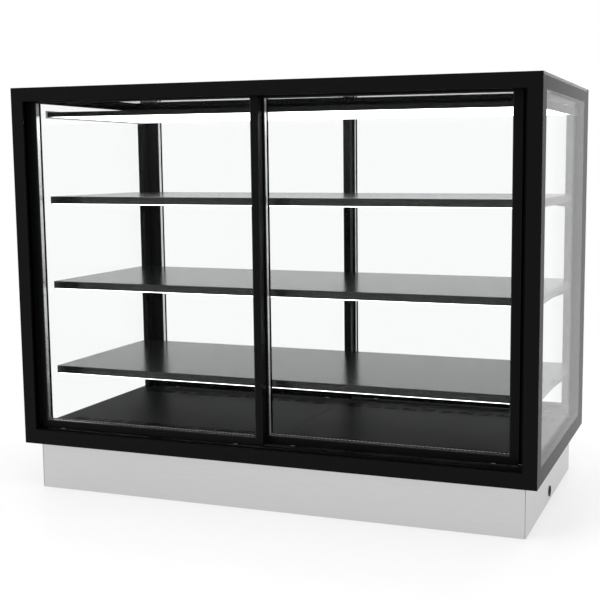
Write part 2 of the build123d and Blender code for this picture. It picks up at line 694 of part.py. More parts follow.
# Slotted uprights that stand on the rear sill and carry the shelf brackets
UPRIGHT_RIGHT = INNER_LEFT + UPRIGHT_WIDTH
BRACKET_RIGHT = BRACKET_LEFT + BRACKET_THICKNESS
with BuildPart() as upright:
    upright_top = LIGHT_BOTTOM - LIGHT_CAP_RISE
    block((INNER_LEFT, UPRIGHT_FRONT, SILL_TOP), (UPRIGHT_RIGHT, LIGHT_REAR, upright_top))
    block(
        (INNER_LEFT + UPRIGHT_WALL, UPRIGHT_FRONT + UPRIGHT_WALL, SILL_TOP),
        (UPRIGHT_RIGHT - UPRIGHT_WALL, LIGHT_REAR - UPRIGHT_WALL, upright_top),
        Mode.SUBTRACT,
    )
    for shelf_top in SHELF_TOPS:
        bracket_top = shelf_top - SHELF_SHEET
        block(
            (
                BRACKET_LEFT - BRACKET_SLOT_FIT,
                UPRIGHT_FRONT,
                bracket_top - BRACKET_REAR_HEIGHT - BRACKET_SLOT_FIT,
            ),
            (BRACKET_RIGHT + BRACKET_SLOT_FIT, UPRIGHT_FRONT + UPRIGHT_WALL, bracket_top + BRACKET_SLOT_FIT),
            Mode.SUBTRACT,
        )
save(pair(upright), "rear_uprights")

with BuildPart() as end_brackets:
    for shelf_top in SHELF_TOPS:
        bracket_top = shelf_top - SHELF_SHEET
        hook_rear = UPRIGHT_FRONT + BRACKET_HOOK
        tip = SHELF_REAR - BRACKET_LENGTH
        with BuildSketch(Plane.YZ.offset(BRACKET_LEFT)):
            with BuildLine():
                Polyline(
                    (tip, bracket_top),
                    (hook_rear, bracket_top),
                    (hook_rear, bracket_top - BRACKET_REAR_HEIGHT),
                    (SHELF_REAR - SHELF_SHEET, bracket_top - BRACKET_REAR_HEIGHT),
                    (tip, bracket_top - BRACKET_TIP_HEIGHT),
                    close=True,
                )
            make_face()
        extrude(amount=BRACKET_THICKNESS)
save(pair(end_brackets), "shelf_brackets")

# Shelves: folded sheet trays with a deep front lip, and the light strip under each lip


def make_shelf(shelf_top):
    bottom = shelf_top - SHELF_LIP
    with BuildPart() as shelf:
        block((SHELF_LEFT, SHELF_FRONT, bottom), (-SHELF_LEFT, SHELF_REAR, shelf_top))
        block(
            (SHELF_LEFT + SHELF_SHEET, SHELF_FRONT + SHELF_LIP_DEPTH, bottom),
            (-SHELF_LEFT - SHELF_SHEET, SHELF_REAR - SHELF_SHEET, shelf_top - SHELF_SHEET),
            Mode.SUBTRACT,
        )
        block(
            (SHELF_LEFT + SHELF_SHEET, SHELF_FRONT + SHELF_SHEET, bottom),
            (-SHELF_LEFT - SHELF_SHEET, SHELF_FRONT + SHELF_LIP_DEPTH - SHELF_SHEET, shelf_top - SHELF_SHEET),
            Mode.SUBTRACT,
        )
        for notch_left, notch_right in (
            (BRACKET_LEFT, BRACKET_RIGHT + BRACKET_SLOT_FIT),
            (-BRACKET_RIGHT - BRACKET_SLOT_FIT, -BRACKET_LEFT),
        ):
            block(
                (notch_left, SHELF_REAR - 2 * SHELF_SHEET, bottom),
                (notch_right, SHELF_REAR, shelf_top - SHELF_SHEET),
                Mode.SUBTRACT,
            )
        lip_edge = shelf.edges().filter_by(Axis.X).group_by(Axis.Z)[-1].sort_by(Axis.Y)[0]
        fillet(lip_edge, SHELF_SHEET)
    return shelf


for shelf_name, shelf_top in zip(SHELF_NAMES, SHELF_TOPS):
    save(make_shelf(shelf_top), shelf_name)

with BuildPart() as led_strips:
    for shelf_top in SHELF_TOPS:
        strip_front = SHELF_FRONT + (SHELF_LIP_DEPTH - LED_STRIP_WIDTH) / 2
        strip_top = shelf_top - SHELF_SHEET
        block(
            (SHELF_LEFT + SHELF_SHEET, strip_front, strip_top - LED_STRIP_HEIGHT),
            (-SHELF_LEFT - SHELF_SHEET, strip_front + LED_STRIP_WIDTH, strip_top),
        )
save(led_strips, "shelf_led_strips")

# Deck: two lift-out sheet panels with air slots along the front and the rear


def deck_slots(left, right):
    """Centres of the air slots of one deck panel."""
    count = int((right - left - DECK_SLOT_PITCH / 2) // DECK_SLOT_PITCH)
    middle = (left + right) / 2
    first = middle - (count - 1) * DECK_SLOT_PITCH / 2
    rows = [ASSEMBLY_REAR + DECK_SLOT_EDGE + n * DECK_SLOT_ROW_PITCH for n in range(DECK_SLOT_ROWS)]
    return [(first + n * DECK_SLOT_PITCH, side * y) for n in range(count) for y in rows for side in (-1, 1)]


with BuildPart() as deck_panel:
    deck_left = INNER_LEFT + DECK_FIT
    deck_right = -DECK_FIT
    deck_front = ASSEMBLY_REAR + DECK_FIT
    block((deck_left, deck_front, SILL_TOP), (deck_right, -deck_front, DECK_TOP))
    fold_front = ASSEMBLY_REAR + LEDGE_WIDTH + DECK_FIT
    fold_low = (deck_left, fold_front, SILL_TOP - DECK_FOLD)
    block(fold_low, (deck_right, -fold_front, SILL_TOP))
    block(
        (deck_left + DECK_SHEET, fold_front + DECK_SHEET, SILL_TOP - DECK_FOLD),
        (deck_right - DECK_SHEET, -fold_front - DECK_SHEET, SILL_TOP),
        Mode.SUBTRACT,
    )
    with BuildSketch(Plane.XY.offset(SILL_TOP)):
        with Locations(*deck_slots(deck_left, deck_right)):
            SlotOverall(DECK_SLOT_LENGTH, DECK_SLOT_WIDTH)
    extrude(amount=DECK_SHEET, mode=Mode.SUBTRACT)
save(pair(deck_panel), "deck_panels")

# Well: stainless casing, foam tub and stainless liner, with a dry service bay at the right
with BuildPart() as base_casing:
    block((WELL_LEFT, WELL_FRONT, 0), (-WELL_LEFT, -WELL_FRONT, WELL_HEIGHT))
    block(
        (WELL_LEFT + CASING_SHEET, WELL_FRONT + CASING_SHEET, CASING_SHEET),
        (-WELL_LEFT - CASING_SHEET, -WELL_FRONT - CASING_SHEET, FLANGE_BOTTOM),
        Mode.SUBTRACT,
    )
    block(
        (WELL_LEFT + CASING_FLANGE, WELL_FRONT + CASING_FLANGE, FLANGE_BOTTOM),
        (-WELL_LEFT - CASING_FLANGE, -WELL_FRONT - CASING_FLANGE, WELL_HEIGHT),
        Mode.SUBTRACT,
    )
    with BuildSketch(Plane.YZ.offset(-WELL_LEFT - CASING_SHEET)):
        with Locations((0, OUTLET_HEIGHT)):
            Circle(OUTLET_RADIUS)
    extrude(amount=CASING_SHEET, mode=Mode.SUBTRACT)
    with BuildSketch():
        with Locations((DRAIN_X, DRAIN_Y)):
            Circle(DRAIN_RADIUS + DRAIN_WALL + DRAIN_FIT)
    extrude(amount=CASING_SHEET, mode=Mode.SUBTRACT)
save(base_casing, "base_casing")

with BuildPart() as base_insulation:
    foam_left, foam_front = WELL_LEFT + CASING_SHEET, WELL_FRONT + CASING_SHEET
    block((foam_left, foam_front, CASING_SHEET), (COLD_RIGHT, -foam_front, FLANGE_BOTTOM))
    block((LINER_LEFT, LINER_FRONT, LINER_FLOOR), (LINER_RIGHT, -LINER_FRONT, FLANGE_BOTTOM), Mode.SUBTRACT)
    with BuildSketch(Plane.XY.offset(CASING_SHEET)):
        with Locations((DRAIN_X, DRAIN_Y)):
            Circle(DRAIN_RADIUS + DRAIN_WALL + DRAIN_FIT)
    extrude(amount=INSULATION, mode=Mode.SUBTRACT)
save(base_insulation, "base_insulation")

with BuildPart() as well_liner:
    block((LINER_LEFT, LINER_FRONT, LINER_FLOOR), (LINER_RIGHT, -LINER_FRONT, FLANGE_BOTTOM))
    flange_left, flange_front = WELL_LEFT + CASING_FLANGE, WELL_FRONT + CASING_FLANGE
    block((flange_left, flange_front, FLANGE_BOTTOM), (COLD_RIGHT, -flange_front, WELL_HEIGHT))
    block(
        (LINER_LEFT + LINER_SHEET, LINER_FRONT + LINER_SHEET, WELL_FLOOR),
        (LINER_RIGHT - LINER_SHEET, -LINER_FRONT - LINER_SHEET, WELL_HEIGHT),
        Mode.SUBTRACT,
    )
    with BuildSketch():
        with Locations((DRAIN_X, DRAIN_Y)):
            Circle(DRAIN_RADIUS + DRAIN_WALL)
    extrude(amount=WELL_FLOOR)
    with BuildSketch():
        with Locations((DRAIN_X, DRAIN_Y)):
            Circle(DRAIN_RADIUS)
    extrude(amount=WELL_FLOOR, mode=Mode.SUBTRACT)
save(well_liner, "well_liner")

with BuildPart() as service_cover:
    cover_front = ASSEMBLY_REAR + DECK_FIT
    block((LINER_RIGHT, cover_front, WELL_HEIGHT), (-WELL_LEFT, -cover_front, WELL_HEIGHT + CASING_SHEET))
save(service_cover, "service_cover")

with BuildPart() as terminal_box:
    terminal_left = COLD_RIGHT + (SERVICE_BAY - TERMINAL_WIDTH) / 2
    terminal_front = -WELL_FRONT - 2 * INSULATION - TERMINAL_LENGTH
    terminal_high = (terminal_left + TERMINAL_WIDTH, terminal_front + TERMINAL_LENGTH)
    block((terminal_left, terminal_front, CASING_SHEET), (*terminal_high, CASING_SHEET + TERMINAL_HEIGHT))
    fillet(terminal_box.edges().filter_by(Axis.Z), 2 * PROFILE_WALL)
save(terminal_box, "terminal_box")

with BuildPart() as cable_grommet:
    wall_inner = -WELL_LEFT - CASING_SHEET
    with BuildSketch(Plane.YZ.offset(-WELL_LEFT + GROMMET_FIT)):
        with Locations((0, OUTLET_HEIGHT)):
            Circle(GROMMET_FLANGE_RADIUS)
    extrude(amount=GROMMET_FLANGE)
    with BuildSketch(Plane.YZ.offset(wall_inner - GROMMET_FLANGE - GROMMET_FIT)):
        with Locations((0, OUTLET_HEIGHT)):
            Circle(GROMMET_FLANGE_RADIUS)
    extrude(amount=GROMMET_FLANGE)
    with BuildSketch(Plane.YZ.offset(wall_inner - GROMMET_FIT)):
        with Locations((0, OUTLET_HEIGHT)):
            Circle(OUTLET_RADIUS - GROMMET_FIT)
    extrude(amount=CASING_SHEET + 2 * GROMMET_FIT)
    with BuildSketch(Plane.YZ.offset(wall_inner - GROMMET_FLANGE - GROMMET_FIT)):
        with Locations((0, OUTLET_HEIGHT)):
            Circle(GROMMET_BORE)
    extrude(amount=CASING_SHEET + 2 * (GROMMET_FIT + GROMMET_FLANGE), mode=Mode.SUBTRACT)
save(cable_grommet, "cable_grommet")

# Evaporator: a fin pack on serpentine tubes, standing on its two end plates
COIL_MIDDLE = FIN_FRONT + FIN_DEPTH / 2
COIL_ROWS = [COIL_MIDDLE + (n - (COIL_COLUMNS - 1) / 2) * COIL_PITCH for n in range(COIL_COLUMNS)]
FIN_BOTTOM = WELL_FLOOR + FIN_LIFT
FIRST_FIN = COIL_CENTRE_X - (FIN_COUNT - 1) * FIN_PITCH / 2
LAST_FIN = COIL_CENTRE_X + (FIN_COUNT - 1) * FIN_PITCH / 2


def fin_outline(x, bottom):
    """One fin's outline with its tube holes, on the plane at x."""
    top = FIN_BOTTOM + FIN_HEIGHT
    with BuildSketch(Plane.YZ.offset(x)) as outline:
        with Locations((FIN_FRONT + FIN_DEPTH / 2, (bottom + top) / 2)):
            Rectangle(FIN_DEPTH, top - bottom)
        for level in COIL_LEVELS:
            with Locations(*[(y, FIN_BOTTOM + level) for y in COIL_ROWS]):
                Circle(TUBE_RADIUS + TUBE_FIT, mode=Mode.SUBTRACT)
    return outline.sketch


with BuildPart() as evaporator_fins:
    for n in range(FIN_COUNT):
        at_end = n in (0, FIN_COUNT - 1)
        fin = fin_outline(FIRST_FIN + n * FIN_PITCH, WELL_FLOOR if at_end else FIN_BOTTOM)
        extrude(fin, amount=FIN_THICKNESS)
save(evaporator_fins, "evaporator_fins")

with BuildPart() as evaporator_tubes:
    tube_left = FIRST_FIN - TUBE_OVERRUN
    tube_right = LAST_FIN + TUBE_OVERRUN
    for level in COIL_LEVELS:
        z = FIN_BOTTOM + level
        with BuildLine() as route:
            for n, y in enumerate(COIL_ROWS):
                start, end = (tube_right, tube_left) if n % 2 == 0 else (tube_left, tube_right)
                Line((start, y, z), (end, y, z))
                if n < COIL_COLUMNS - 1:
                    swing = -COIL_PITCH / 2 if n % 2 == 0 else COIL_PITCH / 2
                    ThreePointArc((end, y, z), (end + swing, y + COIL_PITCH / 2, z), (end, y + COIL_PITCH, z))
        with BuildSketch(Plane((tube_right, COIL_ROWS[0], z), z_dir=(-1, 0, 0))):
            Circle(TUBE_RADIUS)
        sweep(path=route.wires()[0])
save(evaporator_tubes, "evaporator_tubes")

# Fans: two axial fans on an upright panel between the return and the evaporator
FAN_Z = WELL_FLOOR + FAN_PANEL_GAP + FAN_SIZE / 2
with BuildPart() as fan_panel:
    block(
        (LINER_LEFT + LINER_SHEET, FAN_Y - FAN_PANEL_SHEET, WELL_FLOOR),
        (LINER_RIGHT - LINER_SHEET, FAN_Y, FLANGE_BOTTOM - FAN_PANEL_GAP),
    )
    for x in FAN_X:
        block(
            (x - FAN_SIZE / 2, FAN_Y, FAN_Z - FAN_SIZE / 2),
            (x + FAN_SIZE / 2, FAN_Y + FAN_DEPTH, FAN_Z + FAN_SIZE / 2),
        )
        with BuildSketch(Plane.XZ.offset(-FAN_Y + FAN_PANEL_SHEET)):
            with Locations((x, FAN_Z)):
                Circle(FAN_BORE)
        extrude(amount=-FAN_DEPTH - FAN_PANEL_SHEET, mode=Mode.SUBTRACT)
        motor_front = FAN_Y + FAN_DEPTH - FAN_MOTOR_LENGTH
        with BuildSketch(Plane.XZ.offset(-motor_front)):
            with Locations((x, FAN_Z)):
                Circle(FAN_HUB_RADIUS)
                with PolarLocations(0, 3, start_angle=90):
                    Rectangle(FAN_BORE + FAN_STRUT_BITE, FAN_STRUT, align=(Align.MIN, Align.CENTER))
        extrude(amount=-FAN_MOTOR_LENGTH)
        with BuildSketch(Plane.XZ.offset(-motor_front)):
            with Locations((x, FAN_Z)):
                Circle(FAN_SHAFT_RADIUS)
        extrude(amount=FAN_ROTOR_LENGTH)
save(fan_panel, "fan_panel")


def blade_plane(rotor_plane, angle):
    """The plane of one blade: radial along x, and pitched about that radius."""
    turn, pitch = radians(angle), radians(FAN_BLADE_PITCH)
    spoke = rotor_plane.x_dir * cos(turn) + rotor_plane.y_dir * sin(turn)
    tangent = rotor_plane.y_dir * cos(turn) - rotor_plane.x_dir * sin(turn)
    normal = rotor_plane.z_dir * cos(pitch) + tangent * sin(pitch)
    middle = rotor_plane.origin + rotor_plane.z_dir * (FAN_ROTOR_LENGTH / 2)
    return Plane(middle, x_dir=spoke, z_dir=normal)


def make_rotor(x):
    """A cup hub with pitched blades, turning on the motor's shaft about +Y."""
    rotor_rear = FAN_Y + FAN_DEPTH - FAN_MOTOR_LENGTH - FAN_ROTOR_GAP
    rotor_plane = Plane((x, rotor_rear, FAN_Z), x_dir=(1, 0, 0), z_dir=(0, -1, 0))
    blade_span = FAN_BLADE_TIP - FAN_HUB_RADIUS + FAN_BLADE_THICKNESS
    with BuildPart() as rotor:
        with BuildSketch(rotor_plane):
            Circle(FAN_HUB_RADIUS)
        extrude(amount=FAN_ROTOR_LENGTH)
        for n in range(FAN_BLADES):
            with BuildSketch(blade_plane(rotor_plane, n * 360 / FAN_BLADES)):
                with Locations((FAN_BLADE_TIP - blade_span / 2, 0)):
                    Rectangle(blade_span, FAN_BLADE_CHORD)
            extrude(amount=FAN_BLADE_THICKNESS / 2, both=True)
        with BuildSketch(rotor_plane):
            Circle(FAN_SHAFT_RADIUS + FAN_SHAFT_FIT)
        extrude(amount=FAN_ROTOR_LENGTH, mode=Mode.SUBTRACT)
    return rotor


for rotor_name, x in zip(("fan_rotor_left", "fan_rotor_right"), FAN_X):
    save(make_rotor(x), rotor_name)

# Operator's controls: a slim digital controller and a light switch in the rear sill
with BuildPart() as controller:
    half = CONTROL_WIDTH / 2
    half_height = CONTROL_HEIGHT / 2
    body = half - CONTROL_BODY_INSET
    body_height = half_height - CONTROL_BODY_INSET
    switch = SWITCH_WIDTH / 2
    switch_body = switch - CONTROL_BODY_INSET
    for x, face_half, inside_half in ((CONTROL_X, half, body), (SWITCH_X, switch, switch_body)):
        block(
            (x - face_half, CONTROL_FACE, CONTROL_Z - half_height),
            (x + face_half, BEZEL_FACE, CONTROL_Z + half_height),
        )
        block(
            (x - inside_half, CONTROL_FACE - CONTROL_BODY_DEPTH, CONTROL_Z - body_height),
            (x + inside_half, CONTROL_FACE, CONTROL_Z + body_height),
        )
    display_x = CONTROL_X + DISPLAY_X
    block(
        (display_x - DISPLAY_WIDTH / 2, BEZEL_FACE - DISPLAY_DEPTH, CONTROL_Z - DISPLAY_HEIGHT / 2),
        (display_x + DISPLAY_WIDTH / 2, BEZEL_FACE, CONTROL_Z + DISPLAY_HEIGHT / 2),
        Mode.SUBTRACT,
    )
    with BuildSketch(Plane.XZ.offset(-BEZEL_FACE)):
        with Locations(*[(CONTROL_X + x, CONTROL_Z) for x in BUTTON_X]):
            Circle(BUTTON_RADIUS + BUTTON_FIT)
    extrude(amount=BUTTON_LENGTH + BUTTON_PROUD, mode=Mode.SUBTRACT)
    block(
        (
            SWITCH_X - SWITCH_WELL_WIDTH / 2,
            BEZEL_FACE - ROCKER_DEPTH - 2 * ROCKER_PROUD,
            CONTROL_Z - SWITCH_WELL_HEIGHT / 2,
        ),
        (SWITCH_X + SWITCH_WELL_WIDTH / 2, BEZEL_FACE, CONTROL_Z + SWITCH_WELL_HEIGHT / 2),
        Mode.SUBTRACT,
    )
save(controller, "controller")

for button_name, x in zip(BUTTON_NAMES, BUTTON_X):
    with BuildPart() as button:
        with BuildSketch(Plane.XZ.offset(-BEZEL_FACE - BUTTON_PROUD)):
            with Locations((CONTROL_X + x, CONTROL_Z)):
                Circle(BUTTON_RADIUS)
        extrude(amount=BUTTON_LENGTH)
    save(button, button_name)

with BuildPart() as light_switch:
    rocker_half = SWITCH_WELL_WIDTH / 2 - ROCKER_FIT
    rocker_height = SWITCH_WELL_HEIGHT - 2 * BUTTON_FIT
    with BuildSketch(Plane.XY.offset(CONTROL_Z - rocker_height / 2)):
        with BuildLine():
            Polyline(
                (SWITCH_X - rocker_half, BEZEL_FACE + ROCKER_PROUD),
                (SWITCH_X, BEZEL_FACE - ROCKER_PROUD),
                (SWITCH_X + rocker_half, BEZEL_FACE + ROCKER_PROUD),
                (SWITCH_X + rocker_half / 2, BEZEL_FACE - ROCKER_DEPTH),
                (SWITCH_X - rocker_half / 2, BEZEL_FACE - ROCKER_DEPTH),
                close=True,
            )
        make_face()
    extrude(amount=rocker_height)
save(light_switch, "light_switch")
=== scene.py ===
# %% [markdown]
# # A drop-in refrigerated display case
# The case is a black profile frame with double-glazed ends and roof, four sliding sashes, three lit
# shelves and a shallow steel well. Its solids come ready made, so this lesson lights them, gives
# every surface a finish, and adds the small trim that a solid model leaves out.

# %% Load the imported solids
import json

import bpy
import numpy as np
from mathutils import Matrix, Vector


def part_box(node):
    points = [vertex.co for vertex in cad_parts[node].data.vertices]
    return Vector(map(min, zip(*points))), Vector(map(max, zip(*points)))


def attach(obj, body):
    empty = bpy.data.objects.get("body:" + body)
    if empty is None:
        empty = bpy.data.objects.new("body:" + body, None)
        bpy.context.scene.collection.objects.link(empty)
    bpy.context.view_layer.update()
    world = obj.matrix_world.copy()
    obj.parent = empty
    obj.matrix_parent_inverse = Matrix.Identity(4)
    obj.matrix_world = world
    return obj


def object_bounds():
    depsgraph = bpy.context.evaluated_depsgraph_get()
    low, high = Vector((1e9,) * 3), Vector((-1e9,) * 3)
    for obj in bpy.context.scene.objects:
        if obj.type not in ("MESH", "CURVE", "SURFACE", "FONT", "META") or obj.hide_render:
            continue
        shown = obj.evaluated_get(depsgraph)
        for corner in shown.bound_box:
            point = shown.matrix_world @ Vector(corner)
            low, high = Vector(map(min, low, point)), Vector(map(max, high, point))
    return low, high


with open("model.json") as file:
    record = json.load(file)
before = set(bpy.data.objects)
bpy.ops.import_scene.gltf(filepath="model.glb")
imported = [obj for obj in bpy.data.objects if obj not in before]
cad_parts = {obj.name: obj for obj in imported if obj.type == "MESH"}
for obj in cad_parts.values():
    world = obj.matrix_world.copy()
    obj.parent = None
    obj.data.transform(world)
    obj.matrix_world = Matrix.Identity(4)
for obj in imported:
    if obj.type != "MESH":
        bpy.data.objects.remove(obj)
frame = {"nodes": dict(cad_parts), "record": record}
scene = bpy.context.scene
cad_low, cad_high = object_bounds()
MM = 0.001
print("nodes", len(frame["nodes"]), "box", tuple(cad_low), tuple(cad_high))

# %% [markdown]
# ## The camera
# A picture with straight edges tells where its camera stood: the eight corners of a box of known
# size fix the eye, the turn and the focal length. The numbers below come from such a fit. The
# picture was cropped off centre, and `shift_x` moves the film the same way without turning the
# eye. It also moves the case sideways in views from other sides, so it is held to a tenth of the
# width. Seen from behind at a slant, a corner of the case still reaches just past the edge.

# %% Camera
IMAGE_SIDE = 600.0
FOCAL_PIXELS = 1096.4
CENTRE_COLUMN = 360.0
SENSOR_WIDTH = 36.0
EYE = Vector((0.9791, -2.3929, 0.7534))
TURN, TILT, ROLL = np.radians((19.664, 7.102, -0.287))

ahead = Vector((-np.sin(TURN) * np.cos(TILT), np.cos(TURN) * np.cos(TILT), -np.sin(TILT)))
level = Vector((np.cos(TURN), np.sin(TURN), 0.0))
upward = level.cross(ahead)
across = level * np.cos(ROLL) + upward * np.sin(ROLL)
upward = upward * np.cos(ROLL) - level * np.sin(ROLL)
facing = Matrix((across, upward, -ahead)).transposed().to_4x4()

camera = bpy.data.objects.new("camera", bpy.data.cameras.new("camera"))
scene.collection.objects.link(camera)
camera.data.sensor_width = SENSOR_WIDTH
camera.data.lens = FOCAL_PIXELS / IMAGE_SIDE * SENSOR_WIDTH
camera.data.shift_x = 0.5 - CENTRE_COLUMN / IMAGE_SIDE
camera.matrix_world = Matrix.Translation(EYE) @ facing
scene.camera = camera
scene.view_settings.view_transform = "Standard"
# Where two sashes overlap at the front and at the rear, a ray crosses sixteen faces of glass.
scene.cycles.max_bounces = 24
scene.cycles.transmission_bounces = 20
scene.cycles.transparent_max_bounces = 24
print("lens", round(camera.data.lens, 2), "shift", round(camera.data.shift_x, 4))

# %% [markdown]
# ## Helpers for node trees
# Each finish is a Principled surface with constants on its own sockets and a noise pattern that
# reads Object coordinates, so the pattern stays put when a sash slides. Small helpers keep the
# trees short: they add a node with its settings, map one range of values onto another, and make
# the noise.

# %% Nodes, ranges and patterns
PATTERN_LOW, PATTERN_HIGH = 0.3, 0.7


def add_node(tree, kind, **values):
    """Adds a node of that kind. A value goes to the node's own setting, or to its input socket."""
    node = tree.nodes.new(kind)
    for name, value in values.items():
        if hasattr(node, name):
            setattr(node, name, value)
        else:
            node.inputs[name.replace("_", " ")].default_value = value
    return node


def map_range(tree, value, ends, **settings):
    """Maps the first two of four ends onto the last two."""
    node = add_node(tree, "ShaderNodeMapRange", **settings)
    for socket, number in zip(("From Min", "From Max", "To Min", "To Max"), ends):
        node.inputs[socket].default_value = number
    tree.links.new(value, node.inputs["Value"])
    return node.outputs["Result"]


def spread(tree, value, low, high):
    """Maps the usual values of a noise pattern onto low to high."""
    return map_range(tree, value, (PATTERN_LOW, PATTERN_HIGH, low, high))


def object_pattern(tree, scale, stretch=(1.0, 1.0, 1.0), detail=3.0):
    """Noise in Object coordinates, stretched along an axis whose factor is small."""
    place = add_node(tree, "ShaderNodeTexCoord")
    mapping = add_node(tree, "ShaderNodeMapping")
    mapping.inputs["Scale"].default_value = stretch
    noise = add_node(tree, "ShaderNodeTexNoise", Scale=scale, Detail=detail)
    tree.links.new(place.outputs["Object"], mapping.inputs["Vector"])
    tree.links.new(mapping.outputs["Vector"], noise.inputs["Vector"])
    return noise.outputs["Fac"]


# %% One finish from one pattern
ROUGHNESS_SWING = 0.15
RELIEF_HEIGHT = 0.0004
# A Mix node keeps its two colours, and the colour it gives, in these sockets.
MIX_DARK, MIX_LIGHT, MIX_RESULT = 6, 7, 2


def surface_finish(name, colour, roughness, scale=180.0, stretch=(1, 1, 1), bump=0.05,
                   variation=0.15, metallic=0.0, specular=0.5):
    """A Principled finish whose colour, roughness and relief all follow one noise pattern."""
    material = bpy.data.materials.new(name)
    material.use_nodes = True
    tree = material.node_tree
    shader = tree.nodes["Principled BSDF"]
    shader.inputs["Metallic"].default_value = metallic
    shader.inputs["Specular IOR Level"].default_value = specular
    pattern = object_pattern(tree, scale, stretch)
    smoothest, roughest = roughness * (1 - ROUGHNESS_SWING), roughness * (1 + ROUGHNESS_SWING)
    tree.links.new(spread(tree, pattern, smoothest, roughest), shader.inputs["Roughness"])
    tone = add_node(tree, "ShaderNodeMix", data_type="RGBA")
    dark, light = (tuple(min(1.0, c * (1 + s * variation)) for c in colour) for s in (-1, 1))
    tone.inputs[MIX_DARK].default_value = (*dark, 1)
    tone.inputs[MIX_LIGHT].default_value = (*light, 1)
    tree.links.new(spread(tree, pattern, 0.0, 1.0), tone.inputs["Factor"])
    tree.links.new(tone.outputs[MIX_RESULT], shader.inputs["Base Color"])
    relief = add_node(tree, "ShaderNodeBump", Strength=bump, Distance=RELIEF_HEIGHT)
    tree.links.new(pattern, relief.inputs["Height"])
    tree.links.new(relief.outputs["Normal"], shader.inputs["Normal"])
    return material


# %% [markdown]
# ## Opaque finishes
# The profiles are black anodised aluminium. In a white room a black surface is made lighter by
# what it mirrors, so its specular level is low. The well is brushed steel: noise stretched along
# the sheet's length gives the grain. Paint, rubber and plastics differ by roughness and grain size.

# %% One opaque finish per slot
finishes = {
    "black_profile": surface_finish("black_anodised", (0.0032, 0.0032, 0.0035), 0.4, 900,
                                    specular=0.06),
    "black_steel": surface_finish("black_powder_coat", (0.0045, 0.0045, 0.005), 0.5, 1400,
                                  specular=0.08, bump=0.25),
    "silver_spacer": surface_finish("mill_aluminium", (0.74, 0.75, 0.76), 0.3, 500, (1, 1, 0.2),
                                    metallic=1.0),
    "black_spacer": surface_finish("black_warm_edge", (0.012, 0.012, 0.013), 0.65, 1200,
                                   specular=0.25),
    "white_nylon": surface_finish("white_nylon", (0.78, 0.78, 0.75), 0.35, 700),
    "brush_pile": surface_finish("brush_pile", (0.012, 0.012, 0.013), 0.85, 4000, (1, 1, 0.1),
                                 bump=0.8),
    "seal_rubber": surface_finish("seal_rubber", (0.011, 0.011, 0.012), 0.6, 1500,
                                  specular=0.25, bump=0.15),
    "light_aluminium": surface_finish("light_tray", (0.02, 0.02, 0.021), 0.45, 900,
                                      specular=0.1),
    "grey_plastic": surface_finish("grey_plastic", (0.46, 0.47, 0.48), 0.45, 2200, bump=0.2),
    "shelf_paint": surface_finish("shelf_paint", (0.012, 0.012, 0.013), 0.2, 1600,
                                  specular=0.35, bump=0.1),
    "deck_paint": surface_finish("deck_paint", (0.005, 0.005, 0.0055), 0.5, 1600,
                                 specular=0.05, bump=0.15),
    "stainless": surface_finish("brushed_steel", (0.6, 0.6, 0.605), 0.38, 900,
                                (0.02, 0.02, 1.0), bump=0.12, variation=0.04, metallic=1.0),
    "foam": surface_finish("rigid_foam", (0.68, 0.63, 0.46), 0.9, 600, bump=0.9, variation=0.2),
    "fin_aluminium": surface_finish("fin_aluminium", (0.76, 0.77, 0.78), 0.35, 400, metallic=1.0),
    "copper": surface_finish("drawn_copper", (0.72, 0.36, 0.22), 0.3, 120, metallic=1.0,
                             variation=0.25),
    "black_plastic": surface_finish("black_plastic", (0.014, 0.014, 0.015), 0.5, 2400, bump=0.25),
    "screw_steel": surface_finish("plated_steel", (0.55, 0.55, 0.56), 0.3, 900, metallic=1.0),
}
print("opaque finishes", len(finishes))

# %% [markdown]
# ## Glass
# Each pane is a solid sheet, so light really enters and leaves it. A refracting pane throws a dark
# shadow in a path tracer, so for shadow rays the pane is made transparent with the tint of the
# real sheet. A very faint cloudiness stands for wiped glass.
# Show cases are often glazed with a low-reflection coating: seen square on, the panes mirror next
# to nothing, and seen at a slant they still mirror strongly. A low index does both.

# %% Clear pane
COATED_INDEX = 1.06
PANE_TINT, SHADOW_TINT = (0.985, 0.99, 0.988, 1), (0.93, 0.95, 0.94, 1)
CLOUD_SCALE, CLOUD_ROUGHNESS = 6.0, 0.012


def clear_pane():
    """A refracting sheet that lets shadow rays straight through, dimmed by the glass's tint."""
    material = bpy.data.materials.new("float_glass")
    material.use_nodes = True
    tree = material.node_tree
    shader = tree.nodes["Principled BSDF"]
    shader.inputs["Base Color"].default_value = PANE_TINT
    shader.inputs["Transmission Weight"].default_value = 1.0
    shader.inputs["IOR"].default_value = COATED_INDEX
    cloud = object_pattern(tree, CLOUD_SCALE, detail=2.0)
    tree.links.new(spread(tree, cloud, 0.0, CLOUD_ROUGHNESS), shader.inputs["Roughness"])
    through = add_node(tree, "ShaderNodeBsdfTransparent")
    through.inputs["Color"].default_value = SHADOW_TINT
    path = add_node(tree, "ShaderNodeLightPath")
    choice = add_node(tree, "ShaderNodeMixShader")
    tree.links.new(path.outputs["Is Shadow Ray"], choice.inputs["Fac"])
    tree.links.new(shader.outputs["BSDF"], choice.inputs[1])
    tree.links.new(through.outputs["BSDF"], choice.inputs[2])
    tree.links.new(choice.outputs["Shader"], tree.nodes["Material Output"].inputs["Surface"])
    return material


finishes["clear_glass"] = clear_pane()
print("pane index", COATED_INDEX)

# %% [markdown]
# ## Lit opal
# The roof light and the shelf lights are opal covers with small lamps behind them. A wave along
# the length makes each cover a little brighter over every lamp. A band wave repeats after one
# turn of a circle divided by twenty times its scale: a scale of 4 puts the lamps 79 mm apart.

# %% Opal diffuser
OPAL_STRENGTH, OPAL_SWING = 4.0, 0.1
WAVE_SCALE = 4.0


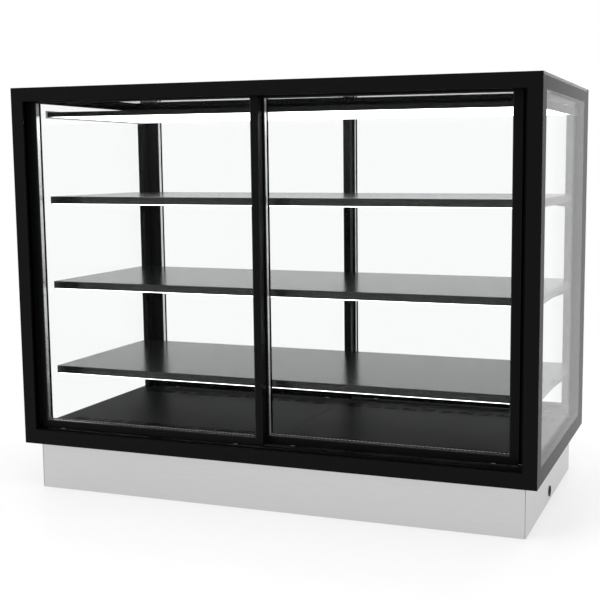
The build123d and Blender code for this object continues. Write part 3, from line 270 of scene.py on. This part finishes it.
def lit_opal(strength):
    """Emission whose strength swings by a tenth along X, once per lamp."""
    material = bpy.data.materials.new("opal_diffuser")
    material.use_nodes = True
    tree = material.node_tree
    shader = tree.nodes["Principled BSDF"]
    shader.inputs["Base Color"].default_value = (0.9, 0.9, 0.88, 1)
    shader.inputs["Roughness"].default_value = 0.5
    shader.inputs["Emission Color"].default_value = (1.0, 1.0, 0.98, 1)
    place = add_node(tree, "ShaderNodeTexCoord")
    wave = add_node(tree, "ShaderNodeTexWave", wave_type="BANDS", bands_direction="X",
                    Scale=WAVE_SCALE, Distortion=0.0)
    tree.links.new(place.outputs["Object"], wave.inputs["Vector"])
    dimmest, brightest = strength * (1 - OPAL_SWING), strength * (1 + OPAL_SWING)
    swing = map_range(tree, wave.outputs["Fac"], (0.0, 1.0, dimmest, brightest))
    tree.links.new(swing, shader.inputs["Emission Strength"])
    return material


finishes["diffuser_opal"] = lit_opal(OPAL_STRENGTH)
print("opal strength", OPAL_STRENGTH)

# %% [markdown]
# ## Finishes onto the solids
# The record names a material slot for each node, so one loop dresses them all.

# %% Dress the nodes
slot_of = {part["node"]: part["material_slot"] for part in frame["record"]["subparts"]}
for node_name, node in frame["nodes"].items():
    node.data.materials.clear()
    node.data.materials.append(finishes[slot_of[node_name]])
print("dressed", len(slot_of), "nodes with", len(set(slot_of.values())), "finishes")

# %% [markdown]
# ## Making trim
# Every added piece is worked out with numpy as one or more grids of points. A grid is closed
# along its profile, and its two ends are either joined to each other or capped, so that the
# surface is watertight. Its faces are the quads between neighbouring points.

# %% Grids into pieces
X, Y, Z = np.eye(3)


def grid_faces(rows, columns, closed_rows):
    """Quads between neighbours of a rows by columns grid. Columns always close into a loop."""
    r = np.arange(rows if closed_rows else rows - 1)[:, None]
    c = np.arange(columns)[None, :]
    next_r, next_c = (r + 1) % rows, (c + 1) % columns
    corners = (r * columns + c, r * columns + next_c, next_r * columns + next_c, next_r * columns + c)
    return np.stack(corners, -1).reshape(-1, 4)


def outward(points, faces):
    """Turns every face round if the closed surface's signed volume is negative."""
    a, b, c, d = (points[faces[:, k]] for k in range(4))
    volume = sum(np.einsum("ij,ij->i", a, np.cross(*pair)).sum() for pair in ((b, c), (c, d)))
    return faces if volume > 0 else faces[:, ::-1]


def joined(parts):
    """Stacks several grids into one set of points and faces, each turned outwards first."""
    points, faces, first = [], [], 0
    for part_points, part_faces in parts:
        flat = part_points.reshape(-1, 3)
        points.append(flat)
        faces.append(outward(flat, part_faces) + first)
        first += len(flat)
    return np.concatenate(points), np.concatenate(faces)


def make_piece(name, points, faces, finish, body, slot=None, smooth=True):
    """Puts points and faces into a mesh with a finish, and lets it ride on a body."""
    mesh = bpy.data.meshes.new(name)
    mesh.from_pydata(points.tolist(), [], [list(map(int, face)) for face in faces])
    mesh.materials.append(finish)
    mesh.polygons.foreach_set("use_smooth", np.full(len(mesh.polygons), smooth))
    mesh.update()
    piece = bpy.data.objects.new(name, mesh)
    scene.collection.objects.link(piece)
    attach(piece, body)
    print(name, len(mesh.polygons), "faces on", body)


# %% [markdown]
# ## Glazing beads
# A soft black bead closes the step between each sash's border and its pane, on both faces. Its
# section is a quarter-round carried round the rectangle of the clear opening with mitred corners:
# each point of the section lies on its own, slightly smaller, rectangle.

# %% Bead round a rectangle
BEAD_REACH, BEAD_DEPTH, BEAD_STEPS = 2.2 * MM, 1.2 * MM, 7


def mitred(u0, u1, v0, v1, reach):
    """The corners of a rectangle shrunk by each reach: four rows, a column per section point."""
    us = np.stack([u0 + reach, u1 - reach, u1 - reach, u0 + reach])
    vs = np.stack([v0 + reach, v0 + reach, v1 - reach, v1 - reach])
    return us, vs


def bead_ring(x0, x1, z0, z1, y, outwards):
    """A mitred ring in the XZ plane at y: reach times cosine inwards, depth times sine outwards."""
    t = np.linspace(0, np.pi / 2, BEAD_STEPS)
    inwards = np.append(BEAD_REACH * np.cos(t), 0.0)
    proud = np.append(BEAD_DEPTH * np.sin(t), 0.0)
    xs, zs = mitred(x0, x1, z0, z1, inwards)
    ys = np.broadcast_to(y + outwards * proud, xs.shape)
    return np.stack([xs, ys, zs], -1), grid_faces(4, len(inwards), True)


# %% [markdown]
# ## Spacer slots
# The spacer between the two panes of a sash is a silver tube, pierced with short slots so that
# its drying agent can work. The slots show as a row of light dashes beside the black border.
# Each dash is a shallow pillow: a superellipse outline, with its middle raised.

# %% Pillows in rows
DASH_PITCH, DASH_LENGTH, DASH_WIDTH = 9.0 * MM, 6.0 * MM, 2.2 * MM
SPACER_WIDTH = 8.0 * MM
PILLOW_RISE, PILLOW_SIDES, PILLOW_POWER = 0.25 * MM, 10, 0.6
RING_SIZES = np.array([0.01, 1.0, 1.0, 0.55, 0.01])[:, None]
RING_HEIGHTS = np.array([0.0, 0.0, 0.55, 0.95, 1.0])[:, None]


def pillow_rows(centres, along, over, normal, length, width, rise=PILLOW_RISE):
    """Pillows whose rim is cos and sin of the angle to a power, in rings from foot to crown."""
    angle = np.linspace(0, 2 * np.pi, PILLOW_SIDES, endpoint=False)
    u, v = (np.sign(w) * np.abs(w) ** PILLOW_POWER for w in (np.cos(angle), np.sin(angle)))
    u, v = u * length / 2 * RING_SIZES, v * width / 2 * RING_SIZES
    height = RING_HEIGHTS * rise + 0 * u
    one = (u[..., None] * along + v[..., None] * over + height[..., None] * normal).reshape(-1, 3)
    faces = outward(one, grid_faces(len(RING_SIZES), PILLOW_SIDES, True))
    points = np.asarray(centres)[:, None, :] + one
    first = np.arange(len(centres))[:, None, None] * len(one)
    return points.reshape(-1, 3), (faces + first).reshape(-1, 4)


def spaced(low, high, pitch):
    """Evenly spaced places between two ends, half a pitch in from each."""
    count = max(2, int((high - low) / pitch))
    return low + (np.arange(count) + 0.5) * (high - low) / count


def sash_dashes(low, high):
    """Dashes on the four inward faces of a spacer whose outer box is low to high."""
    x0, x1 = low.x + SPACER_WIDTH, high.x - SPACER_WIDTH
    z0, z1 = low.z + SPACER_WIDTH, high.z - SPACER_WIDTH
    y = (low.y + high.y) / 2
    parts = []
    for x, normal in ((x0, X), (x1, -X)):
        upright = [(x, y, z) for z in spaced(z0, z1, DASH_PITCH)]
        parts.append(pillow_rows(upright, Z, Y, normal, DASH_LENGTH, DASH_WIDTH))
    for z, normal in ((z0, Z), (z1, -Z)):
        lying = [(x, y, z) for x in spaced(x0, x1, DASH_PITCH)]
        parts.append(pillow_rows(lying, X, Y, normal, DASH_LENGTH, DASH_WIDTH))
    return joined(parts)


# %% Slots and beads on each sash
SASHES = ("front_left", "front_right", "rear_left", "rear_right")
SASH_BORDER = 16.0 * MM

desiccant = surface_finish("white_desiccant", (0.9, 0.9, 0.88), 0.7, 2500, variation=0.05)
for sash in SASHES:
    body = f"{sash}_door"
    frame_low, frame_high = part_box(f"{sash}_door_frame")
    glass_low, glass_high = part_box(f"{sash}_door_glass")
    spacer_low, spacer_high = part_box(f"{sash}_door_spacer")
    make_piece(f"{sash}_spacer_slots", *sash_dashes(spacer_low, spacer_high), desiccant, body)
    x0, x1 = frame_low.x + SASH_BORDER, frame_high.x - SASH_BORDER
    z0, z1 = frame_low.z + SASH_BORDER, frame_high.z - SASH_BORDER
    rings = [bead_ring(x0, x1, z0, z1, y, side) for y, side in ((glass_low.y, -1), (glass_high.y, 1))]
    make_piece(f"{sash}_glazing_beads", *joined(rings), finishes["seal_rubber"], body, "seal_rubber")

# %% [markdown]
# ## Printed margin
# The roof's outer sheet carries a black printed margin that hides the spacer and the glue. It is a
# flat ring just under the sheet: outer and inner rectangles, each with a front and a back.

# %% Margin ring
MARGIN_BAND, MARGIN_THICKNESS, MARGIN_INSET = 34.0 * MM, 0.15 * MM, 5.0 * MM
ROOF_SHEET, MARGIN_GAP = 5.0 * MM, 0.1 * MM


def margin_ring(x0, x1, y0, y1, z):
    """Outer and inner edge on two faces, z and a little below, round a rectangle in X and Y."""
    reach = np.array([0.0, MARGIN_BAND, MARGIN_BAND, 0.0])
    depth = np.array([0.0, 0.0, 1.0, 1.0]) * MARGIN_THICKNESS
    xs, ys = mitred(x0, x1, y0, y1, reach)
    return np.stack([xs, ys, z - np.broadcast_to(depth, xs.shape)], -1), grid_faces(4, 4, True)


enamel = surface_finish("printed_enamel", (0.006, 0.006, 0.007), 0.35, 3000, specular=0.3)
top_low, top_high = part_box("top_glass")
roof_ring = margin_ring(top_low.x + MARGIN_INSET, top_high.x - MARGIN_INSET,
                        top_low.y + MARGIN_INSET, top_high.y - MARGIN_INSET,
                        top_high.z - ROOF_SHEET - MARGIN_GAP)
make_piece("roof_margin", *joined([roof_ring]), enamel, "cabinet", smooth=False)

# %% [markdown]
# ## Brush seals
# A draught brush closes the gap where two sashes pass. Its pile is thousands of fibres; a comb of
# thin, slightly leaning spikes shows the same broken edge. Each spike has three sides.

# %% Fibres
FIBRE_PITCH, FIBRE_WIDTH, FIBRE_INSET = 1.3 * MM, 0.5 * MM, 1.0 * MM
FOOT_GAP, TIP_GAP, TIP_STRAY, TIP_SIZE = 0.1 * MM, 0.05 * MM, 0.3 * MM, 0.05
SPIKE_SIDES = np.array(((0, 1, 4, 3), (1, 2, 5, 4), (2, 0, 3, 5)))
SPIKE_ENDS = np.array(((0, 2, 1), (3, 4, 5)))


def fibre_comb(low, high, seed):
    """Spikes across the gap in Y, with a triangular foot and a tip moved by a little chance."""
    chance = np.random.default_rng(seed)
    z = np.arange(low.z + FIBRE_PITCH, high.z - FIBRE_PITCH, FIBRE_PITCH)
    count = len(z)
    x = chance.uniform(low.x + FIBRE_INSET, high.x - FIBRE_INSET, count)
    turn = np.array([0, 2, 4]) * np.pi / 3
    foot_x, foot_z = x[:, None] + FIBRE_WIDTH * np.cos(turn), z[:, None] + FIBRE_WIDTH * np.sin(turn)
    foot = np.stack([foot_x, np.full((count, 3), low.y + FOOT_GAP), foot_z], -1)
    tip_x = x + chance.normal(0, TIP_STRAY, count)
    tip_z = z + chance.normal(0, TIP_STRAY, count)
    tip = np.stack([tip_x, np.full(count, high.y - TIP_GAP), tip_z], -1)
    near_tip = tip[:, None, :] + (foot - foot.mean(1, keepdims=True)) * TIP_SIZE
    points = np.concatenate([foot, near_tip], 1)
    first = np.arange(count)[:, None] * points.shape[1]
    sides = np.concatenate([side + first for side in SPIKE_SIDES])
    ends = np.concatenate([end + first for end in SPIKE_ENDS])
    return points.reshape(-1, 3), sides.tolist() + ends.tolist()


BRUSHES = (("front_brush_seal", "front_left_door"), ("rear_brush_seal", "rear_right_door"))
for seed, (seal, body) in enumerate(BRUSHES):
    comb = fibre_comb(*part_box(seal), seed)
    make_piece(f"{seal}_fibres", *comb, finishes["brush_pile"], body, "brush_pile")

# %% [markdown]
# ## Light lenses under the shelf lips
# Each shelf hides a lamp strip behind its front lip, and a slim opal lens under the lip throws the
# light down: from the front it is one bright line. The lens is a half-round bar: a semicircle of
# section points, carried from one end of the shelf to the other and capped.

# %% Lenses
LENS_RADIUS, LENS_INSET, LENS_DROP, LENS_END_GAP = 1.4 * MM, 2.2 * MM, 0.2 * MM, 4.0 * MM
LENS_STEPS = 9
SHELVES = ("shelf_bottom", "shelf_middle", "shelf_top")


def capped_bar(section, starts, stops):
    """A section carried from one place to another; each end is a fan round the section's middle."""
    ends = [section + place for place in (starts, stops)]
    middles = [np.broadcast_to(end.mean(0), end.shape) for end in ends]
    points = np.stack([middles[0], ends[0], ends[1], middles[1]])
    return points, grid_faces(4, len(section), False)


def half_round_bar(x0, x1, y, z):
    """Section: y plus radius times cosine, z minus radius times sine, over half a turn."""
    t = np.linspace(0, np.pi, LENS_STEPS)
    section = np.stack([0 * t, y + LENS_RADIUS * np.cos(t), z - LENS_RADIUS * np.sin(t)], -1)
    return capped_bar(section, (x0, 0, 0), (x1, 0, 0))


for shelf in SHELVES:
    low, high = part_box(shelf)
    bar = half_round_bar(low.x + LENS_END_GAP, high.x - LENS_END_GAP,
                         low.y + LENS_INSET, low.z - LENS_DROP)
    make_piece(f"{shelf}_light_lens", *joined([bar]), finishes["diffuser_opal"], "cabinet",
               "diffuser_opal")

# %% [markdown]
# ## Seams of the steel well
# The well's sides are folded from sheet and meet at the corners in a fine closed seam. A dark
# hairline of painted shade runs up each seam: a thin strip, a little rounded, laid on the sheet.

# %% Corner seams
SEAM_WIDTH, SEAM_RISE, SEAM_INSET, SEAM_END_GAP = 0.9 * MM, 0.15 * MM, 1.6 * MM, 1.0 * MM
SEAM_STEPS = 5


def upright_seam(x, y, z0, z1, proud):
    """Half an ellipse of section points, width along X and rise along proud, from z0 to z1."""
    t = np.linspace(0, np.pi, SEAM_STEPS)[:, None]
    section = np.array([x, y, 0.0]) + np.cos(t) * X * SEAM_WIDTH / 2 + np.sin(t) * proud * SEAM_RISE
    return capped_bar(section, (0, 0, z0), (0, 0, z1))


# The strip's dark grey is painted shade along the corner seam.
seam_shadow = surface_finish("seam_shadow", (0.12, 0.12, 0.12), 0.6, 900, metallic=0.6)
well_low, well_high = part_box("base_casing")
seam_xs = (well_low.x + SEAM_INSET, well_high.x - SEAM_INSET)
seam_shade_strips = [upright_seam(x, y, well_low.z + SEAM_END_GAP, well_high.z - SEAM_END_GAP, proud)
         for x in seam_xs for y, proud in ((well_low.y, -Y), (well_high.y, Y))]
make_piece("well_corner_seam_shade", *joined(seam_shade_strips), seam_shadow, "cabinet")

# %% [markdown]
# ## Screws
# Small domed screws hold the end caps of the roof light and the service cover. A screw head is a
# surface of turning: radius against height along a rounded profile, and a cross recess is pressed
# in wherever a point lies near either of two lines through the middle.

# %% Domed screw heads
SCREW_RADIUS, SCREW_RISE, SCREW_SIDES = 2.6 * MM, 0.9 * MM, 24
SCREW_RINGS = np.append(0.02, np.linspace(0.15, 1.0, 7))[:, None]
DOME_ROUNDNESS, FOOT_SIZE = 0.96, 0.02
RECESS_WIDTH, RECESS_DEPTH, RECESS_REACH = 0.45 * MM, 0.6 * MM, 0.62


def screw_heads(centres, u, v, normal):
    """Height is the rise times the root of one minus roundness times r squared, less the recess."""
    turn = np.linspace(0, 2 * np.pi, SCREW_SIDES, endpoint=False)[None, :]
    a, b = SCREW_RINGS * np.cos(turn), SCREW_RINGS * np.sin(turn)
    height = SCREW_RISE * np.sqrt(1 - DOME_ROUNDNESS * (a**2 + b**2))
    on_cross = np.minimum(np.abs(a), np.abs(b)) * SCREW_RADIUS < RECESS_WIDTH / 2
    height = height - RECESS_DEPTH * (on_cross & (SCREW_RINGS < RECESS_REACH))
    height[-1] = 0.0
    flat = (a * SCREW_RADIUS)[..., None] * u + (b * SCREW_RADIUS)[..., None] * v
    dome = flat + height[..., None] * normal
    one = np.concatenate([dome, dome[-1:] * FOOT_SIZE])
    faces = grid_faces(len(one), SCREW_SIDES, True)
    return joined([(one + np.asarray(centre), faces) for centre in centres])


# %% Screws in their places
CAP_SCREW_INSET, COVER_INSET_X, COVER_INSET_Y = 30 * MM, 8 * MM, 20 * MM

cap_low, cap_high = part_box("light_end_caps")
cap_z = (cap_low.z + cap_high.z) / 2
cap_ys = np.linspace(cap_low.y + CAP_SCREW_INSET, cap_high.y - CAP_SCREW_INSET, 4)
for side, x, normal in (("left", cap_low.x, -X), ("right", cap_high.x, X)):
    heads = screw_heads([(x, y, cap_z) for y in cap_ys], Y, Z, normal)
    make_piece(f"light_cap_screws_{side}", *heads, finishes["screw_steel"], "cabinet", "screw_steel")

cover_low, cover_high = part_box("service_cover")
cover_xs = (cover_low.x + COVER_INSET_X, cover_high.x - COVER_INSET_X)
cover_ys = np.linspace(cover_low.y + COVER_INSET_Y, cover_high.y - COVER_INSET_Y, 3)
heads = screw_heads([(x, y, cover_high.z) for x in cover_xs for y in cover_ys], X, Y, Z)
make_piece("service_cover_screws", *heads, finishes["screw_steel"], "cabinet", "screw_steel")

# %% [markdown]
# ## Fan guards
# A guard of concentric wire rings keeps fingers out of each fan. Every ring is a torus: the wire's
# small circle carried round a large one.

# %% Rings of wire
GUARD_RADII, WIRE_RADIUS = np.array([12.0, 20.0, 28.0, 36.0]) * MM, 0.7 * MM
RING_STEPS, WIRE_SIDES = 48, 8


def wire_ring(centre, radius):
    """Centre plus (R + r cos v) times (cos u, sin u) in X and Z, and r sin v in Y."""
    u = np.linspace(0, 2 * np.pi, RING_STEPS, endpoint=False)[:, None]
    v = np.linspace(0, 2 * np.pi, WIRE_SIDES, endpoint=False)[None, :]
    reach = radius + WIRE_RADIUS * np.cos(v)
    points = np.stack([reach * np.cos(u), WIRE_RADIUS * np.sin(v) + 0 * u, reach * np.sin(u)], -1)
    return points + np.asarray(centre), grid_faces(RING_STEPS, WIRE_SIDES, True)


panel_low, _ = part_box("fan_panel")
for side in ("left", "right"):
    rotor_low, rotor_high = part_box(f"fan_rotor_{side}")
    axis_x, axis_z = (rotor_low.x + rotor_high.x) / 2, (rotor_low.z + rotor_high.z) / 2
    centre = (axis_x, panel_low.y - 2 * WIRE_RADIUS, axis_z)
    guard = joined([wire_ring(centre, radius) for radius in GUARD_RADII])
    make_piece(f"fan_guard_{side}", *guard, finishes["screw_steel"], "cabinet", "screw_steel")

# %% [markdown]
# ## The controller's reading
# The controller shows a set temperature on a small lit display. A digit has up to seven bars; each
# bar is a little pillow, long in one direction, and the number 4 needs four of them.

# %% Seven-bar digits
BARS_OF = {"0": "abcdef", "4": "fgbc"}
READING = "04"
BAR_LENGTH, BAR_WIDTH, BAR_RISE, BAR_STEP = 3.6 * MM, 0.8 * MM, 0.1 * MM, 0.58
# Each bar's place in steps from the digit's middle, and whether it stands upright.
BAR_SPOTS = {"a": (0, 2, False), "g": (0, 0, False), "d": (0, -2, False), "f": (-1, 1, True),
             "b": (1, 1, True), "e": (-1, -1, True), "c": (1, -1, True)}
DIGIT_PITCH, DISPLAY_X, DISPLAY_RECESS = 6.0 * MM, 0.408, 1.0 * MM
DISPLAY_STRENGTH, DISPLAY_RED = 2.0, (1.0, 0.08, 0.03, 1)


def digit_bars(digit, centre, u, v, normal):
    """The bars of one digit; u points to its right and v to its top."""
    step = BAR_LENGTH * BAR_STEP
    parts = []
    for bar in BARS_OF[digit]:
        right, up, upright = BAR_SPOTS[bar]
        along, over = (v, u) if upright else (u, v)
        spot = centre + right * step * u + up * step * v
        parts.append(pillow_rows([spot], along, over, normal, BAR_LENGTH, BAR_WIDTH, BAR_RISE))
    return parts


digit_glow = lit_opal(DISPLAY_STRENGTH)
digit_glow.name = "display_red"
digit_shader = digit_glow.node_tree.nodes["Principled BSDF"]
digit_shader.inputs["Emission Color"].default_value = DISPLAY_RED
face_low, face_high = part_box("controller")
middle = np.array([DISPLAY_X, face_high.y - DISPLAY_RECESS, (face_low.z + face_high.z) / 2])
digits = []
for k, digit in enumerate(READING):
    digits += digit_bars(digit, middle + (0.5 - k) * DIGIT_PITCH * X, -X, Z, Y)
make_piece("controller_digits", *joined(digits), digit_glow, "cabinet")

# %% [markdown]
# ## Stage
# The floor is a pale sheet and the room is white. A strength of 1 for the rays that come from the
# camera, or by way of glass and metal, makes the background white. Diffuse rays see a calmer world.

# %% World
WORLD_FILL = 0.55


def seen_directly(tree):
    """1 for camera, glossy and transmission rays, 0 for the rest."""
    path = add_node(tree, "ShaderNodeLightPath")
    either = add_node(tree, "ShaderNodeMath", operation="MAXIMUM")
    any_of = add_node(tree, "ShaderNodeMath", operation="MAXIMUM")
    tree.links.new(path.outputs["Is Camera Ray"], either.inputs[0])
    tree.links.new(path.outputs["Is Glossy Ray"], either.inputs[1])
    tree.links.new(either.outputs[0], any_of.inputs[0])
    tree.links.new(path.outputs["Is Transmission Ray"], any_of.inputs[1])
    return any_of.outputs[0]


world = bpy.data.worlds.new("white_room")
world.use_nodes = True
scene.world = world
room = world.node_tree
background = room.nodes["Background"]
background.inputs["Color"].default_value = (1, 1, 1, 1)
light_level = map_range(room, seen_directly(room), (0.0, 1.0, WORLD_FILL, 1.0))
room.links.new(light_level, background.inputs["Strength"])
print("world fill", WORLD_FILL)

# %% [markdown]
# Near the case only part of the room's white is given to the floor, so it keeps the soft shadow.
# Further out the floor fades to white and meets the room without an edge.

# %% Floor
FLOOR_HALF, FLOOR_GAP = 12.0, 0.5 * MM
GLOW_NEAR, GLOW_FAR = 0.6, 1.0
GLOW_START, GLOW_END = 0.75, 1.6

floor_finish = surface_finish("pale_floor", (0.93, 0.93, 0.93), 0.35, 3.0, variation=0.01,
                              bump=0.0, specular=0.3)
tree = floor_finish.node_tree
place = add_node(tree, "ShaderNodeTexCoord")
distance = add_node(tree, "ShaderNodeVectorMath", operation="LENGTH")
tree.links.new(place.outputs["Object"], distance.inputs[0])
fade = map_range(tree, distance.outputs["Value"], (GLOW_START, GLOW_END, GLOW_NEAR, GLOW_FAR),
                 interpolation_type="SMOOTHSTEP")
share = add_node(tree, "ShaderNodeMath", operation="MULTIPLY")
tree.links.new(seen_directly(tree), share.inputs[0])
tree.links.new(fade, share.inputs[1])
glow = add_node(tree, "ShaderNodeEmission", Strength=1.0)
mix = add_node(tree, "ShaderNodeMixShader")
tree.links.new(share.outputs[0], mix.inputs["Fac"])
tree.links.new(tree.nodes["Principled BSDF"].outputs["BSDF"], mix.inputs[1])
tree.links.new(glow.outputs["Emission"], mix.inputs[2])
tree.links.new(mix.outputs["Shader"], tree.nodes["Material Output"].inputs["Surface"])

floor_mesh = bpy.data.meshes.new("floor")
corners = FLOOR_HALF * np.array([(-1, -1, 0), (1, -1, 0), (1, 1, 0), (-1, 1, 0)])
floor_mesh.from_pydata((corners + (0, 0, cad_low.z - FLOOR_GAP)).tolist(), [], [(0, 1, 2, 3)])
floor_mesh.materials.append(floor_finish)
floor = bpy.data.objects.new("floor", floor_mesh)
scene.collection.objects.link(floor)
print("floor", 2 * FLOOR_HALF, "m wide")

# %% [markdown]
# Four large soft lamps shape the case. They light it without being seen or mirrored.

# %% Lamps
AIM = Vector((0, 0, 0.4))
# Each lamp's name, place, size in metres and power in watts.
LAMPS = (("overhead", (0.0, -0.6, 3.2), 3.0, 70), ("front_left", (-2.6, -3.0, 1.8), 2.0, 45),
         ("right", (3.2, -0.8, 1.6), 2.0, 14), ("rear", (0.5, 3.2, 2.2), 2.5, 45))

for name, spot, size, power in LAMPS:
    lamp = bpy.data.objects.new(f"{name}_lamp", bpy.data.lights.new(name, "AREA"))
    lamp.data.size, lamp.data.energy = size, power
    lamp.location = spot
    lamp.rotation_euler = (AIM - Vector(spot)).to_track_quat("-Z", "Y").to_euler()
    lamp.visible_camera = lamp.visible_glossy = lamp.visible_transmission = False
    scene.collection.objects.link(lamp)
print("lamps", len(LAMPS))
